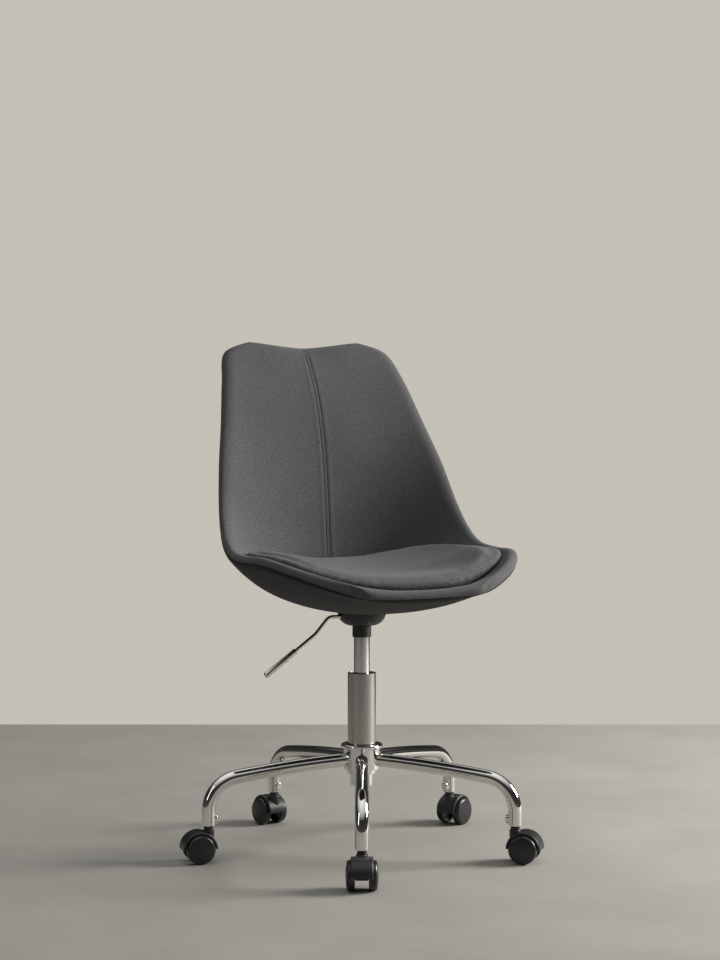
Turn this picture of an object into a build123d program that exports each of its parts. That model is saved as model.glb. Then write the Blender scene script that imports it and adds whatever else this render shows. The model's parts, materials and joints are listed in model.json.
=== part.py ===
"""Swivel office chair: an upholstered bucket shell on a gas column, a five-leg tube base and twin casters.

Millimetres, +Z up. The origin is on the column axis at floor level and the sitter faces -Y.
The seat stands 60 mm above its lowest position.
"""

import os
from math import cos, radians, sin, sqrt

from build123d import *

os.makedirs("parts", exist_ok=True)

# Fits
RUNNING = 0.05          # radial clearance of a shaft that turns or slides in its hole
CLEAR = 0.5             # gap between pieces that pass each other

# Legs
LEG_COUNT = 5
BASE_TURN = -25.5       # first leg, in degrees from straight ahead of the sitter
CASTER_CIRCLE_R = 280.0
LEG_D = 24.0
LEG_WALL = 1.5
LEG_BEND_R = 58.0
DROP_AT_HUB = 2.8       # slope of the leg below level where it leaves the hub, degrees
DROP_AT_BEND = 8.2      # the same where the end bend starts
SOCKET_LENGTH = 24.0
BUTTON_HEIGHT = 17.0
BUTTON_WIDTH = 12.5
BUTTON_PROUD = 4.7
BUTTON_RISE = 1.5       # button above the leg's end
BUTTON_ROUND = 2.8

# Casters
WHEEL_D = 50.0
WHEEL_WIDTH = 15.8
WHEEL_GAP = 23.0        # between the two wheels of a caster
DOME_D = 40.0           # flat tread ends and the outer face's dome begins
DOME_PROUD = 1.7
TRAIL = 17.5            # stem axis to axle
AXLE_D = 6.0
AXLE_SHORT = 2.0        # wheel's axle bore ends this far inside its face
WHEEL_HUB_WALL = 5.0
WHEEL_RIM = 4.0         # thickness under the tread
WHEEL_WEB = 6.0         # thickness of the wheel's outer wall
TREAD_CHAMFER = 1.0
STEM_D = 10.0
STEM_FOOT = 14.0        # stem's lower end above the axle
NECK_D = 16.0
NECK_HEIGHT = 36.5      # neck top above the axle
BOSS_D = 20.0
BOSS_HEIGHT = 31.5      # boss top above the axle
HOOD_WIDTH = 37.0
HOOD_WALL = 3.7
HOOD_ROUND = 2.2
HOOD_GAP = 0.8          # web to each wheel
AXLE_BOSS_WALL = 6.0
BOSS_ROUND = 1.8
NECK_CHAMFER = 0.8
STEM_CHAMFER = 1.2
WHEEL_ROOM = 1.8        # between the tread and the hood
STEM_SHOWN = 2.5        # bare stem between the neck and the leg

# Hub
HUB_WALL = 8.0
HUB_BELOW_LEG = 16.4    # leg centreline to the hub's lower face
HUB_HEIGHT = 36.0
HUB_FLOOR = 3.0
RING_PROUD = 4.0        # ring beyond the hub, on the radius
RING_GAP = 2.5          # ring to the column tube
RING_HEIGHT = 8.0
RING_ROUND = 2.8
FOOT_STEP_IN = 6.5      # step inside the hub, on the radius
FOOT_STEP_HEIGHT = 8.0
FOOT_IN = 12.0          # foot inside the hub, on the radius
FOOT_HEIGHT = 21.0
FOOT_WALL = 3.0

# Column
TUBE_D = 50.0
TUBE_WALL = 1.5
TUBE_LENGTH = 167.0
BUSH_LENGTH = 68.0
BUSH_RECESS = 1.0
CYLINDER_D = 28.0
CYLINDER_WALL = 3.0
CYLINDER_LENGTH = 186.0
CYLINDER_SHOWN = 64.1   # between the tube and the sleeve, at rest
TRAVEL_UP = 45.0
SEAL_LENGTH = 10.0
ROD_D = 10.0
PISTON_LENGTH = 10.0
PIN_D = 6.0
PIN_SEAT = 16.0         # length of the pin held in the cylinder's head
PIN_CHAMFER = 1.2
HEAD_BELOW_PIN = 4.0
BEARING_D = 26.0
BEARING_HEIGHT = 6.0
CLIP_D = 16.0
CLIP_HEIGHT = 2.0
CLIP_ROOM = 4.0         # clip to the hub's floor, on the radius
ROD_ROOM = 1.0          # rod to the tube's floor, on the radius

# Seat fitting
TAPER_LENGTH = 26.0
TAPER_NARROWS = 0.8     # on the radius
TAPER_SOCKET_D = 31.0
SLEEVE_LENGTH = 20.3
SLEEVE_LIP = 3.0        # height of the lip under the taper socket
SLEEVE_D = 33.4
BOWL_D = 86.0
BOWL_HEIGHT = 24.0
BOWL_WALL = 2.0
PLATE_D = 72.0
PLATE_THICKNESS = 2.5
PLATE_ABOVE_BOWL = 1.0
SCREW_D = 6.0
SCREW_CIRCLE_R = 28.0
SCREW_HEAD_D = 10.0
SCREW_HEAD_HEIGHT = 3.5
SCREW_ROUND = 1.4
SCREW_SHORT = 1.0       # screw's end below the insert's
INSERT_D = 9.0
INSERT_LENGTH = 9.0

# Release lever
LEVER_D = 6.4
LEVER_BELOW_PLATE = 5.2
PIVOT_OUT = 22.0        # pivot to the column axis
PIVOT_D = 3.0
EAR_THICKNESS = 2.0
EAR_R = 5.0
PIVOT_PROUD = 1.0       # pivot pin beyond each ear
LEVER_ROOM = 1.0        # lever to the ears, the socket's window and the bowl's slot
LEVER_BEND_R = 16.0
LEVER_LEVEL_OUT = 64.0  # where the rod turns down, and its drops further out
LEVER_KNEE = (90.0, 29.3)
LEVER_TIP = (186.0, 97.3)
LEVER_PAST_PIN = 3.0
PIN_TO_LEVER = 0.7
HANDLE_D = 10.6
HANDLE_LENGTH = 71.0
HANDLE_GRIP = 50.0      # length of rod inside the handle
HANDLE_ROUND = 3.2
HANDLE_CHAMFER = 1.0

# Shell
SHELL_WIDTH = 504.0
SHELL_DEPTH = 509.0
SHELL_RISE = 463.0
CORE_THICKNESS = 5.0
CORE_BOSS_D = 78.0
CORE_INSET = 0.05       # share of the half width, and less along the length
INNER_PAD = 12.0
OUTER_PAD = 10.0
RIM_SHARE = 0.45        # padding left at the rim
PAN_FLATNESS = 2.4      # how long the section stays flat before it turns up to the rim
TOP_STATIONS = 1.5      # stations over which the section changes to the top edge's even wave
TOP_WAVE = 2.0
CUSHION_GAP = 1.0
CUSHION_TOP = 77.0      # above the mounting face
CUSHION_EDGE = 7.0
CUSHION_DISH = 14.0     # how much higher the top is at its sides

# The shell's middle line (y, z) and rim (x, y, z), from the top of the back to the front of the seat,
# at even steps. z is above the mounting face. Drawn for a shell of the three sizes below.
DRAWN_WIDTH = 504.0
DRAWN_DEPTH = 509.0
DRAWN_RISE = 463.0
MIDDLE = [
    (262, 467), (222, 410), (192, 347), (172, 272), (161, 192), (154, 112), (138, 50),
    (88, 18), (10, 10), (-80, 12), (-160, 24), (-225, 42), (-247, 50),
]
RIM = [
    (112, 260, 473), (164, 243, 458), (184, 203, 407), (203, 160, 331), (222, 120, 257), (235, 86, 187),
    (243, 52, 140), (248, 11, 114), (252, -50, 106), (243, -121, 106), (209, -177, 90), (157, -220, 68),
    (112, -243, 53),
]
CUSHION_REAR = 0.46     # along the middle line
CUSHION_FRONT = 0.965
CUSHION_SIDE = 0.93
CUSHION_CORNER = 0.07   # how much further forward the rear corners are than the rear's middle

# Heights that follow
HUB_R = TUBE_D / 2 + HUB_WALL
AXLE_Z = WHEEL_D / 2
LEG_END_Z = AXLE_Z + NECK_HEIGHT + STEM_SHOWN
BEND_START_R = CASTER_CIRCLE_R - LEG_BEND_R * (1 - sin(radians(DROP_AT_BEND)))
LEG_START_R = HUB_R - LEG_D / 4
ARCH_R = (BEND_START_R - LEG_START_R) / (sin(radians(DROP_AT_BEND)) - sin(radians(DROP_AT_HUB)))
ARCH_FALL = ARCH_R * (cos(radians(DROP_AT_HUB)) - cos(radians(DROP_AT_BEND)))
LEG_START_Z = LEG_END_Z + SOCKET_LENGTH + LEG_BEND_R * cos(radians(DROP_AT_BEND)) + ARCH_FALL
HUB_Z = LEG_START_Z - HUB_BELOW_LEG
TUBE_Z = HUB_Z + HUB_FLOOR
TUBE_TOP = TUBE_Z + TUBE_LENGTH
SLEEVE_Z = TUBE_TOP + CYLINDER_SHOWN
BOWL_Z = SLEEVE_Z + SLEEVE_LENGTH
BOWL_TOP = BOWL_Z + BOWL_HEIGHT
MOUNT_Z = BOWL_TOP + PLATE_ABOVE_BOWL
PLATE_Z = MOUNT_Z - PLATE_THICKNESS
LEVER_Z = PLATE_Z - LEVER_BELOW_PLATE
TAPER_Z = SLEEVE_Z + SLEEVE_LIP
CYLINDER_TOP = TAPER_Z + TAPER_LENGTH
CYLINDER_Z = CYLINDER_TOP - CYLINDER_LENGTH
PISTON_Z = CYLINDER_Z + SEAL_LENGTH + TRAVEL_UP + PISTON_LENGTH
FLOOR_TOP = TUBE_Z + TUBE_WALL * 2


def save(shape, name):
    """Writes one named piece."""
    export_step(shape, f"parts/{name}.step")


def turned(points):
    """Solid of revolution about the Z axis from an outline of (radius, z) points."""
    return revolve(Plane.XZ * make_face(Polyline(*points, close=True)), Axis.Z)


def ring(outer_r, inner_r, low, high):
    return turned([(inner_r, low), (outer_r, low), (outer_r, high), (inner_r, high)])


def disc(radius, low, high):
    return Pos(0, 0, low) * Cylinder(radius, high - low, align=(Align.CENTER, Align.CENTER, Align.MIN))


def block(x, y, z):
    """Box between two corners, each given as a (low, high) pair."""
    middle = Pos(sum(x) / 2, sum(y) / 2, sum(z) / 2)
    return middle * Box(x[1] - x[0], y[1] - y[0], z[1] - z[0])


def on_leg(shape, number):
    """Turns a piece that is built along +X to the leg with this number."""
    return Rot(0, 0, -90 + BASE_TURN + number * 360 / LEG_COUNT) * shape


# ---------------------------------------------------------------- base

def leg_path():
    """Centreline in the XZ plane: a long shallow arch, the end bend, then straight down."""
    slope = (cos(radians(DROP_AT_HUB)), -sin(radians(DROP_AT_HUB)))
    arch = JernArc((LEG_START_R, LEG_START_Z), slope, ARCH_R, DROP_AT_HUB - DROP_AT_BEND)
    bend = JernArc(arch @ 1, arch % 1, LEG_BEND_R, DROP_AT_BEND - 90)
    drop = Line(bend @ 1, (CASTER_CIRCLE_R, LEG_END_Z))
    return Plane.XZ * Wire([*arch.edges(), *bend.edges(), *drop.edges()])


def leg():
    path = leg_path()
    start = Plane(origin=path @ 0, z_dir=path % 0)
    section = start * (Circle(LEG_D / 2) - Circle(LEG_D / 2 - LEG_WALL))
    tube = sweep(section, path=path)
    return tube - disc(HUB_R, HUB_Z - LEG_D, HUB_Z + HUB_HEIGHT + LEG_D)


def stem_socket():
    plug = ring(LEG_D / 2 - LEG_WALL, STEM_D / 2 + RUNNING, LEG_END_Z, LEG_END_Z + SOCKET_LENGTH)
    return Pos(CASTER_CIRCLE_R, 0, 0) * plug


def lock_button():
    """Oval button on the hub side of a leg's end."""
    outline = Plane.YZ * SlotOverall(BUTTON_HEIGHT, BUTTON_WIDTH, rotation=90)
    height = LEG_END_Z + BUTTON_HEIGHT / 2 + BUTTON_RISE
    face_x = CASTER_CIRCLE_R - LEG_D / 2 - BUTTON_PROUD
    button = Pos(face_x, 0, height) * extrude(outline, LEG_D / 2)
    button = fillet(button.faces().sort_by(Axis.X)[0].edges(), BUTTON_ROUND)
    return button - Pos(CASTER_CIRCLE_R, 0, 0) * disc(LEG_D / 2, 0, LEG_START_Z)


def hub_body():
    outline = ring(HUB_R, TUBE_D / 2, HUB_Z, HUB_Z + HUB_HEIGHT)
    floor = ring(TUBE_D / 2, CLIP_D / 2 + CLIP_ROOM, HUB_Z, TUBE_Z)
    return outline + floor


def hub_ring():
    low = HUB_Z + HUB_HEIGHT
    shape = ring(HUB_R + RING_PROUD, TUBE_D / 2 + RING_GAP, low, low + RING_HEIGHT)
    rims = shape.edges().filter_by(GeomType.CIRCLE).group_by(SortBy.RADIUS)[-1]
    return fillet(rims, RING_ROUND)


def hub_foot():
    step_low = HUB_Z - FOOT_STEP_HEIGHT
    low = step_low - FOOT_HEIGHT
    foot_r = HUB_R - FOOT_IN
    shape = disc(HUB_R - FOOT_STEP_IN, step_low, HUB_Z) + disc(foot_r, low, step_low)
    return shape - disc(foot_r - FOOT_WALL, low + FOOT_WALL, HUB_Z)


def outer_tube():
    shape = ring(TUBE_D / 2, TUBE_D / 2 - TUBE_WALL, TUBE_Z, TUBE_TOP)
    return shape + ring(TUBE_D / 2 - TUBE_WALL, ROD_D / 2 + ROD_ROOM, TUBE_Z, FLOOR_TOP)


def guide_bush():
    high = TUBE_TOP - BUSH_RECESS
    return ring(TUBE_D / 2 - TUBE_WALL, CYLINDER_D / 2 + RUNNING, high - BUSH_LENGTH, high)


def base():
    leg_shape, socket, button = leg(), stem_socket(), lock_button()
    for number in range(LEG_COUNT):
        save(on_leg(leg_shape, number), f"leg_{number + 1}")
        save(on_leg(socket, number), f"stem_socket_{number + 1}")
    save(Compound([on_leg(button, number) for number in range(LEG_COUNT)]), "socket_lock_buttons")
    save(hub_body(), "hub_body")
    save(hub_ring(), "hub_ring")
    save(hub_foot(), "hub_foot")
    save(outer_tube(), "outer_tube")
    save(guide_bush(), "guide_bush")


# ---------------------------------------------------------------- casters

def wheel():
    """One wheel about the Y axis, its inner face at half the gap: open inside, domed outside."""
    inner = WHEEL_GAP / 2
    face = inner + WHEEL_WIDTH - DOME_PROUD
    shoulder = (WHEEL_D - DOME_D) / 2
    dome_r = ((DOME_D / 2) ** 2 + DOME_PROUD**2) / (2 * DOME_PROUD)
    dome_middle = face + DOME_PROUD - dome_r + sqrt(dome_r**2 - (DOME_D / 4) ** 2)
    axle_end = face - AXLE_SHORT
    bore = AXLE_D / 2 + RUNNING
    tread_r = WHEEL_D / 2
    hub_r = AXLE_D / 2 + WHEEL_HUB_WALL
    rim_r = tread_r - WHEEL_RIM
    web = face - WHEEL_WEB
    edge = TREAD_CHAMFER
    outline = [
        Polyline(
            (0, axle_end), (bore, axle_end), (bore, inner), (hub_r, inner), (hub_r, web),
            (rim_r, web), (rim_r, inner), (tread_r - edge, inner), (tread_r, inner + edge),
            (tread_r, face - shoulder),
        ),
        TangentArc((tread_r, face - shoulder), (DOME_D / 2, face), tangent=(0, 1)),
        ThreePointArc((DOME_D / 2, face), (DOME_D / 4, dome_middle), (0, face + DOME_PROUD)),
        Line((0, face + DOME_PROUD), (0, axle_end)),
    ]
    return Rot(-90, 0, 0) * revolve(Plane.XZ * make_face(outline), Axis.Z)


def hood():
    """Half-round fender with a web between the wheels and a neck over the stem, about the axle."""
    inner_r = WHEEL_D / 2 + WHEEL_ROOM
    outer_r = inner_r + HOOD_WALL
    half_web = WHEEL_GAP / 2 - HOOD_GAP
    along_y = Rot(90, 0, 0)
    above = block((-outer_r, outer_r), (-HOOD_WIDTH, HOOD_WIDTH), (0, outer_r))
    fender = (along_y * Cylinder(outer_r, HOOD_WIDTH)) & above
    fender = fillet(fender.edges().filter_by(GeomType.CIRCLE), HOOD_ROUND)
    room = along_y * (Cylinder(inner_r, HOOD_WIDTH * 2) - Cylinder(inner_r, half_web * 2))
    lower_boss = along_y * Cylinder(AXLE_D / 2 + AXLE_BOSS_WALL, half_web * 2)
    boss = Pos(-TRAIL, 0, 0) * disc(BOSS_D / 2, 0, BOSS_HEIGHT)
    boss = fillet(boss.faces().sort_by(Axis.Z)[-1].edges(), BOSS_ROUND)
    neck = Pos(-TRAIL, 0, 0) * disc(NECK_D / 2, 0, NECK_HEIGHT)
    neck = chamfer(neck.faces().sort_by(Axis.Z)[-1].edges(), NECK_CHAMFER)
    shape = fender - room + lower_boss + boss + neck
    shape -= along_y * Cylinder(AXLE_D / 2, HOOD_WIDTH * 2)
    return shape - Pos(-TRAIL, 0, 0) * disc(STEM_D / 2, STEM_FOOT, NECK_HEIGHT)


def stem():
    top = LEG_END_Z + SOCKET_LENGTH - CLEAR - AXLE_Z
    pin = disc(STEM_D / 2, STEM_FOOT, top)
    return chamfer(pin.faces().sort_by(Axis.Z)[-1].edges(), STEM_CHAMFER)


def casters():
    axle_place = Pos(CASTER_CIRCLE_R + TRAIL, 0, AXLE_Z)
    half_axle = WHEEL_GAP / 2 + WHEEL_WIDTH - DOME_PROUD - AXLE_SHORT - CLEAR
    outer_wheel = wheel()
    pieces = {
        "stem": Pos(-TRAIL, 0, 0) * stem(),
        "hood": hood(),
        "axle": Rot(90, 0, 0) * Cylinder(AXLE_D / 2, half_axle * 2),
        "wheel_left": outer_wheel,
        "wheel_right": mirror(outer_wheel, Plane.XZ),
    }
    for number in range(LEG_COUNT):
        for name, piece in pieces.items():
            save(on_leg(axle_place * piece, number), f"caster_{name}_{number + 1}")


# ---------------------------------------------------------------- column

def piston_rod():
    rod = disc(ROD_D / 2, HUB_Z - CLIP_HEIGHT, PISTON_Z)
    head_r = CYLINDER_D / 2 - CYLINDER_WALL - RUNNING
    return rod + disc(head_r, PISTON_Z, PISTON_Z + PISTON_LENGTH)


def gas_cylinder():
    """Tube with a tapered top, open below and closed above by a head with the release pin's hole."""
    outer_r = CYLINDER_D / 2
    inner_r = outer_r - CYLINDER_WALL
    head_z = CYLINDER_TOP - PIN_SEAT - HEAD_BELOW_PIN
    pin_r = PIN_D / 2 + RUNNING
    return turned([
        (inner_r, CYLINDER_Z), (outer_r, CYLINDER_Z), (outer_r, TAPER_Z),
        (outer_r - TAPER_NARROWS, CYLINDER_TOP), (pin_r, CYLINDER_TOP), (pin_r, head_z), (inner_r, head_z),
    ])


def taper_socket():
    """Cone for the cylinder's top, with a window for the lever."""
    cone = turned([
        (CYLINDER_D / 2, TAPER_Z), (TAPER_SOCKET_D / 2, TAPER_Z), (TAPER_SOCKET_D / 2, PLATE_Z),
        (CYLINDER_D / 2 - TAPER_NARROWS, PLATE_Z), (CYLINDER_D / 2 - TAPER_NARROWS, CYLINDER_TOP),
    ])
    half = LEVER_D / 2 + LEVER_ROOM
    window = block((-TAPER_SOCKET_D, -CYLINDER_D / 4), (-half, half), (CYLINDER_TOP + LEVER_ROOM, PLATE_Z))
    return cone - window


def release_pin():
    top = LEVER_Z - LEVER_D / 2 - PIN_TO_LEVER
    pin = disc(PIN_D / 2, CYLINDER_TOP - PIN_SEAT, top)
    return chamfer(pin.faces().sort_by(Axis.Z)[-1].edges(), PIN_CHAMFER)


def column_sleeve():
    lip = ring(SLEEVE_D / 2, CYLINDER_D / 2, SLEEVE_Z, TAPER_Z)
    return lip + ring(SLEEVE_D / 2, TAPER_SOCKET_D / 2, TAPER_Z, BOWL_Z)


def column():
    save(piston_rod(), "piston_rod")
    bearing_z = FLOOR_TOP + CLEAR
    clip_top = TUBE_Z - CLEAR
    save(ring(BEARING_D / 2, ROD_D / 2, bearing_z, bearing_z + BEARING_HEIGHT), "thrust_bearing")
    save(ring(CLIP_D / 2, ROD_D / 2, clip_top - CLIP_HEIGHT, clip_top), "rod_clip")
    save(gas_cylinder(), "gas_cylinder")
    bore_r = CYLINDER_D / 2 - CYLINDER_WALL
    save(ring(bore_r, ROD_D / 2 + RUNNING, CYLINDER_Z, CYLINDER_Z + SEAL_LENGTH), "cylinder_seal")
    save(release_pin(), "release_pin")
    save(taper_socket(), "taper_socket")
    save(column_sleeve(), "column_sleeve")


# ---------------------------------------------------------------- seat fitting and lever

SCREW_PLACES = PolarLocations(SCREW_CIRCLE_R, 4, start_angle=45)


def ears():
    """Two ears under the plate, one each side of the lever."""
    inside = LEVER_D / 2 + LEVER_ROOM
    pair = []
    for side in (-1, 1):
        span = sorted((side * inside, side * (inside + EAR_THICKNESS)))
        ear = block((-PIVOT_OUT - EAR_R, -PIVOT_OUT + EAR_R), span, (LEVER_Z, PLATE_Z))
        middle = sum(span) / 2
        ear += Pos(-PIVOT_OUT, middle, LEVER_Z) * Rot(90, 0, 0) * Cylinder(EAR_R, EAR_THICKNESS)
        pair.append(ear)
    return pair


def mount_plate():
    plate = disc(PLATE_D / 2, PLATE_Z, MOUNT_Z)
    for ear in ears():
        plate += ear
    plate -= Pos(-PIVOT_OUT, 0, LEVER_Z) * Rot(90, 0, 0) * Cylinder(PIVOT_D / 2, PLATE_D)
    for place in SCREW_PLACES:
        plate -= place * disc(SCREW_D / 2, PLATE_Z, MOUNT_Z)
    return plate


def mount_screws():
    head = disc(SCREW_HEAD_D / 2, PLATE_Z - SCREW_HEAD_HEIGHT, PLATE_Z)
    head = fillet(head.faces().sort_by(Axis.Z)[0].edges(), SCREW_ROUND)
    screw = head + disc(SCREW_D / 2, PLATE_Z, MOUNT_Z + INSERT_LENGTH - SCREW_SHORT)
    return Compound([place * screw for place in SCREW_PLACES])


def inserts():
    insert = ring(INSERT_D / 2, SCREW_D / 2, MOUNT_Z, MOUNT_Z + INSERT_LENGTH)
    return [place * insert for place in SCREW_PLACES]


def bowl(shrink):
    """Bowl with a round side, smaller by shrink all over but open at the same height."""
    side_r = BOWL_HEIGHT - shrink
    floor_r = BOWL_D / 2 - BOWL_HEIGHT
    low = BOWL_Z + shrink
    arc = ThreePointArc(
        (floor_r, low),
        (floor_r + side_r * sin(radians(45)), BOWL_TOP - side_r * cos(radians(45))),
        (floor_r + side_r, BOWL_TOP),
    )
    lines = [Polyline((floor_r + side_r, BOWL_TOP), (0, BOWL_TOP), (0, low), (floor_r, low)), arc]
    return revolve(Plane.XZ * make_face(lines), Axis.Z)


def bowl_cover():
    shape = bowl(0) - bowl(BOWL_WALL) - disc(TAPER_SOCKET_D / 2, BOWL_Z, BOWL_TOP)
    half = LEVER_D / 2 + LEVER_ROOM
    return shape - block((-BOWL_D, -PLATE_D / 2 + LEVER_ROOM), (-half, half), (LEVER_Z - half, BOWL_TOP))


def lever_points():
    """Rod centreline in the XZ plane, from over the release pin out to the handle's tip."""
    outer = [(-out, LEVER_Z - fall) for out, fall in (LEVER_KNEE, LEVER_TIP)]
    return [(LEVER_PAST_PIN, LEVER_Z), (-LEVER_LEVEL_OUT, LEVER_Z), *outer]


def handle_axis():
    """Start of the handle and its direction."""
    knee, tip = (Vector(x, 0, z) for x, z in lever_points()[2:])
    along = (tip - knee).normalized()
    return Plane(origin=tip - along * HANDLE_LENGTH, z_dir=along)


def lever_rod():
    place = handle_axis()
    stop = place.origin + place.z_dir * HANDLE_GRIP
    points = [*lever_points()[:3], (stop.X, stop.Z)]
    path = Plane.XZ * FilletPolyline(*points, radius=LEVER_BEND_R)
    start = Plane(origin=path @ 0, z_dir=path % 0)
    rod = sweep(start * Circle(LEVER_D / 2), path=path)
    return rod - Pos(-PIVOT_OUT, 0, LEVER_Z) * Rot(90, 0, 0) * Cylinder(PIVOT_D / 2 + RUNNING, LEVER_D * 2)


def lever_handle():
    shape = disc(HANDLE_D / 2, 0, HANDLE_LENGTH)
    shape = fillet(shape.faces().sort_by(Axis.Z)[-1].edges(), HANDLE_ROUND)
    shape = chamfer(shape.faces().sort_by(Axis.Z)[0].edges(), HANDLE_CHAMFER)
    return handle_axis() * (shape - disc(LEVER_D / 2, 0, HANDLE_GRIP))


def fitting():
    save(mount_plate(), "mount_plate")
    save(mount_screws(), "mount_screws")
    save(Compound(inserts()), "shell_inserts")
    save(bowl_cover(), "bowl_cover")
    pivot_length = LEVER_D + (LEVER_ROOM + EAR_THICKNESS + PIVOT_PROUD) * 2
    pivot = Rot(90, 0, 0) * Cylinder(PIVOT_D / 2, pivot_length)
    save(Pos(-PIVOT_OUT, 0, LEVER_Z) * pivot, "lever_pivot_pin")
    save(lever_rod(), "lever_rod")
    save(lever_handle(), "lever_handle")


# ---------------------------------------------------------------- shell and cushion

def along(stations, t):
    """Smooth curve through evenly spaced stations, at t from 0 to 1."""
    last = len(stations) - 1
    k = min(int(t * last), last - 1)
    f = t * last - k
    p1, p2 = Vector(*stations[k]), Vector(*stations[k + 1])
    p0 = Vector(*stations[k - 1]) if k > 0 else p1 * 2 - p2
    p3 = Vector(*stations[k + 2]) if k + 2 <= last else p2 * 2 - p1
    bend = (p0 * 2 - p1 * 5 + p2 * 4 - p3) * f**2 + (p1 * 3 - p0 - p2 * 3 + p3) * f**3
    return p1 + ((p2 - p0) * f + bend) * 0.5


def shell_point(u, t):
    """Point of the shell's middle surface: u runs from rim to rim, t from the back's top to the front."""
    middle = along([(0, y, z) for y, z in MIDDLE], t)
    rim = along(RIM, t)
    pan = abs(u) ** PAN_FLATNESS
    wave = sin(radians(90 * abs(u))) ** TOP_WAVE
    near_top = max(0, 1 - t * (len(MIDDLE) - 1) / TOP_STATIONS)
    lift = pan + (wave - pan) * near_top**2 * (3 - 2 * near_top)
    x = rim.X * u * SHELL_WIDTH / DRAWN_WIDTH
    y = (middle.Y + (rim.Y - middle.Y) * lift) * SHELL_DEPTH / DRAWN_DEPTH
    z = (middle.Z + (rim.Z - middle.Z) * lift) * SHELL_RISE / DRAWN_RISE
    return Vector(x, y, MOUNT_Z + z)


def shell_normal(u, t):
    """Unit normal of the middle surface, towards the sitter."""
    step = 0.001
    across = shell_point(min(u + step, 1), t) - shell_point(max(u - step, -1), t)
    down = shell_point(u, min(t + step, 1)) - shell_point(u, max(t - step, 0))
    return down.cross(across).normalized()


def pan_z():
    """Height of the middle surface over the column."""
    return shell_point(0, 8 / (len(MIDDLE) - 1)).Z


def padding(u, t):
    """Share of the full padding: 1 in the middle, RIM_SHARE at the rim."""
    edge = min(1, abs(u) ** 8 + abs(2 * t - 1) ** 16)
    return 1 - (1 - RIM_SHARE) * edge


def patch(place, side=1.0, start=0.0, stop=1.0, columns=13, rows=25):
    """Smooth four-sided face through place(u, t) on an even grid."""
    grid = []
    for i in range(rows):
        t = start + (stop - start) * i / (rows - 1)
        grid.append([place(side * (2 * j / (columns - 1) - 1), t) for j in range(columns)])
    return Face.make_surface_from_array_of_points(grid)


def between(lower, upper):
    """Closed solid between two four-sided faces that were built the same way."""
    walls = [Face.make_surface_from_curves(a, b) for a, b in zip(lower.edges(), upper.edges())]
    return Solid(Shell([lower, upper, *walls]))


def padded_face(thickness):
    return patch(lambda u, t: shell_point(u, t) + shell_normal(u, t) * (thickness * padding(u, t)))


def shell_core():
    def layer(offset):
        return patch(
            lambda u, t: shell_point(u, t) + shell_normal(u, t) * offset,
            1 - CORE_INSET, CORE_INSET * 0.6, 1 - CORE_INSET * 0.6,
        )
    board = between(layer(-CORE_THICKNESS / 2), layer(CORE_THICKNESS / 2))
    shape = board + disc(CORE_BOSS_D / 2, MOUNT_Z, pan_z())
    for insert in inserts():
        shape -= insert
    for place in SCREW_PLACES:
        shape -= place * disc(SCREW_D / 2, MOUNT_Z, MOUNT_Z + INSERT_LENGTH - SCREW_SHORT)
    return shape


def seat_cushion():
    """Crowned pad that fills the bucket: its underside follows the shell, its top is nearly flat."""
    start_y = shell_point(0, CUSHION_REAR).Y - INNER_PAD
    stop_y = shell_point(0, CUSHION_FRONT).Y + INNER_PAD

    def above_shell(across, run, height):
        """Point over the shell, across and run going from 0 to 1 over the cushion's plan."""
        rear = CUSHION_REAR + CUSHION_CORNER * abs(across) ** 3
        u, t = across * CUSHION_SIDE, rear + (CUSHION_FRONT - rear) * run
        return shell_point(u, t) + shell_normal(u, t) * (INNER_PAD + CUSHION_GAP + height)

    def underside(across, run):
        return above_shell(across, run, 0)

    def top(across, run):
        edge = above_shell(across, run, CUSHION_EDGE)
        share = (1 - abs(across) ** 4) * (1 - abs(2 * run - 1) ** 6)
        crown = MOUNT_Z + CUSHION_TOP + CUSHION_DISH * across**2
        y = edge.Y + (start_y + (stop_y - start_y) * run - edge.Y) * share
        return Vector(edge.X, y, edge.Z + (crown - edge.Z) * share)

    return between(patch(underside), patch(top))


def shell():
    middle = patch(shell_point)
    core = shell_core()
    hidden = [core, *inserts()]
    inner = between(middle, padded_face(INNER_PAD))
    outer = between(padded_face(-OUTER_PAD), middle) - disc(CORE_BOSS_D / 2, BOWL_Z, pan_z())
    for piece in hidden:
        inner -= piece
        outer -= piece
    save(core, "shell_core")
    save(inner, "inner_upholstery")
    save(outer, "outer_upholstery")
    save(seat_cushion(), "seat_cushion")


base()
casters()
column()
fitting()
shell()
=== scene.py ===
# %% [markdown]
# Swivel office chair: the looks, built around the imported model.
#
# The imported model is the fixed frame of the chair. It holds every leg, tube, caster and screw at
# its real size, and the joints between them. This lesson dresses it: the hard pieces get their
# finishes, and the soft pieces, which are plain blocks in the frame, are modelled again as covers
# that were cut, sewn and pulled over foam. Everything is in metres, with +Z up and the sitter
# facing -Y.

# %% Load the frame
import json
from math import cos, exp, pi, radians, sin, sqrt

import bmesh
import bpy
from mathutils import Matrix, Vector, noise
from mathutils.bvhtree import BVHTree


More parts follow.
